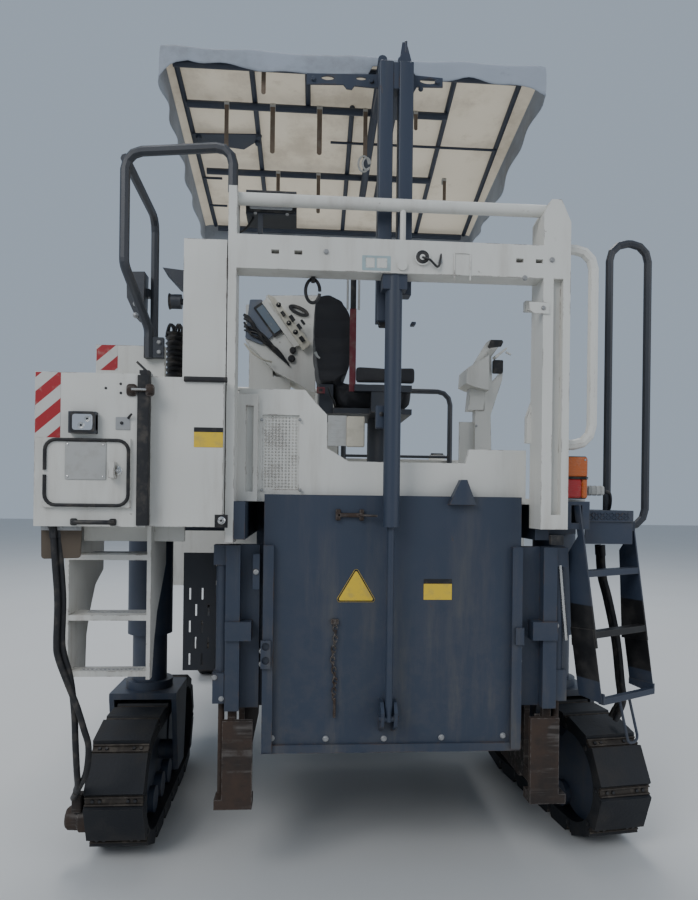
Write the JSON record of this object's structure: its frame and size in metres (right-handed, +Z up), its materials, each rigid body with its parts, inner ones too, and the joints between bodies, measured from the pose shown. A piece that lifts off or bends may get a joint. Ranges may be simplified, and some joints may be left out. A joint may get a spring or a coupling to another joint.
{
  "type": "compact front-loading cold planer, one metre milling width class",
  "caption": "Tracked cold planer: lifting track units, milling drum with rear scraper, operator deck under a canopy, and a slewing discharge conveyor.",
  "frame": {"origin": "middle of the footprint of the whole machine, on the ground", "axes": "+Z up, +Y the direction of travel towards the discharge conveyor, +X to the machine's right"},
  "size_m": [2.552, 11.1254, 3.595],
  "materials": {
    "white_paint": "satin off-white machine paint",
    "slate_paint": "satin slate blue-grey paint, worn",
    "rail_paint": "satin dark paint",
    "rail_steel": "worn bare steel tube",
    "worn_steel": "rusty worn steel",
    "rod_chrome": "polished rod",
    "track_rubber": "dusty black rubber",
    "belt_rubber": "black conveyor rubber",
    "seat_cloth": "black seat cloth",
    "canopy_cloth": "weathered cream canvas",
    "lamp_parts": "lamp lens and housing",
    "engine_metal": "grey engine block"
  },
  "bodies": {
    "chassis": {"main_frame": "slate_paint", "drum_housing": "slate_paint", "portal": "white_paint", "deck": "white_paint", "vent_grille": "white_paint", "left_locker": "white_paint", "cabinets": "white_paint", "engine_block": "engine_metal", "cooler": "slate_paint", "exhaust": "worn_steel", "fuel_tank": "white_paint", "water_tank": "white_paint", "side_boxes": "white_paint", "left_console": "white_paint", "right_console": "white_paint", "seat_frame": "rail_paint", "seat_cushions": "seat_cloth", "mast": "slate_paint", "canopy_frame": "slate_paint", "canopy_cover": "canopy_cloth", "handrails": "rail_paint", "post_rail": "white_paint", "front_rail": "rail_steel", "left_ladder": "white_paint", "right_ladder": "slate_paint", "scraper_barrel": "slate_paint", "lamps": "lamp_parts", "slotted_guard": "slate_paint", "loading_conveyor": "slate_paint", "loading_belt": "belt_rubber"},
    "hood": {"engine_hood": "white_paint"},
    "hatch": {"locker_hatch": "white_paint"},
    "drum": {"milling_drum": "worn_steel"},
    "scraper_plate": {"scraper": "slate_paint"},
    "left_edge": {"side_plate_left": "worn_steel"},
    "right_edge": {"side_plate_right": "worn_steel"},
    "rear_left_unit": {"carrier_rear_left": "slate_paint", "track_rear_left": "track_rubber"},
    "rear_right_unit": {"carrier_rear_right": "slate_paint", "track_rear_right": "track_rubber"},
    "front_left_unit": {"carrier_front_left": "slate_paint", "track_front_left": "track_rubber"},
    "front_right_unit": {"carrier_front_right": "slate_paint", "track_front_right": "track_rubber"},
    "yoke": {"slew_yoke": "slate_paint"},
    "boom": {"boom_frame": "slate_paint", "boom_belt": "belt_rubber"},
    "ram_barrel": {"boom_barrel": "slate_paint"},
    "ram_rod": {"boom_rod": "rod_chrome"}
  },
  "joints": [
    {"name": "drum_spin", "type": "hinge", "parent": "chassis", "child": "drum", "pos_m": [0.094, -4.61775, 0.88], "axis": [1, 0, 0], "continuous": true},
    {"name": "scraper_lift", "type": "slide", "parent": "chassis", "child": "scraper_plate", "axis": [0, 0, 1], "range_m": [-0.2, 0.7]},
    {"name": "left_edge_lift", "type": "slide", "parent": "chassis", "child": "left_edge", "axis": [0, 0, 1], "range_m": [0, 0.3]},
    {"name": "right_edge_lift", "type": "slide", "parent": "chassis", "child": "right_edge", "axis": [0, 0, 1], "range_m": [0, 0.3]},
    {"name": "front_left_steer", "type": "hinge", "parent": "chassis", "child": "front_left_unit", "pos_m": [-1.057, -1.55275, 0.115], "axis": [0, 0, 1], "range_deg": [-25, 25]},
    {"name": "front_right_steer", "type": "hinge", "parent": "chassis", "child": "front_right_unit", "pos_m": [1.057, -1.55275, 0.115], "axis": [0, 0, 1], "range_deg": [-25, 25]},
    {"name": "rear_left_steer", "type": "hinge", "parent": "chassis", "child": "rear_left_unit", "pos_m": [-1.057, -4.55275, 0.115], "axis": [0, 0, 1], "range_deg": [-8, 8]},
    {"name": "rear_right_steer", "type": "hinge", "parent": "chassis", "child": "rear_right_unit", "pos_m": [1.057, -4.55275, 0.115], "axis": [0, 0, 1], "range_deg": [-16, 0]},
    {"name": "locker_hatch_hinge", "type": "hinge", "parent": "chassis", "child": "hatch", "pos_m": [-1.24, -5.52375, 1.653], "axis": [0, 0, -1], "range_deg": [0, 110]},
    {"name": "hood_hinge", "type": "hinge", "parent": "chassis", "child": "hood", "pos_m": [-0.44, -3.80275, 2.255], "axis": [1, 0, 0], "range_deg": [0, 50]},
    {"name": "conveyor_slew", "type": "hinge", "parent": "chassis", "child": "yoke", "pos_m": [0, -0.26775, 1.415], "axis": [0, 0, 1], "range_deg": [-45, 45]},
    {"name": "conveyor_lift", "type": "hinge", "parent": "yoke", "child": "boom", "pos_m": [0, -0.26775, 1.045], "axis": [1, 0, 0], "range_deg": [-4, 20]},
    {"name": "ram_tilt", "type": "hinge", "parent": "yoke", "child": "ram_barrel", "pos_m": [0, -0.15775, 0.795], "axis": [1, 0, 0], "range_deg": [-6, 24]},
    {"name": "ram_stroke", "type": "slide", "parent": "ram_barrel", "child": "ram_rod", "axis": [0, 0.9876, 0.157], "range_m": [-0.03, 0.11]}
  ],
  "couplings": [
    {"joint": "front_right_steer", "follows": "front_left_steer", "ratio": 1},
    {"joint": "ram_tilt", "follows": "conveyor_lift", "ratio": 1.02},
    {"joint": "ram_stroke", "follows": "conveyor_lift", "m_per_rad": 0.27}
  ]
}
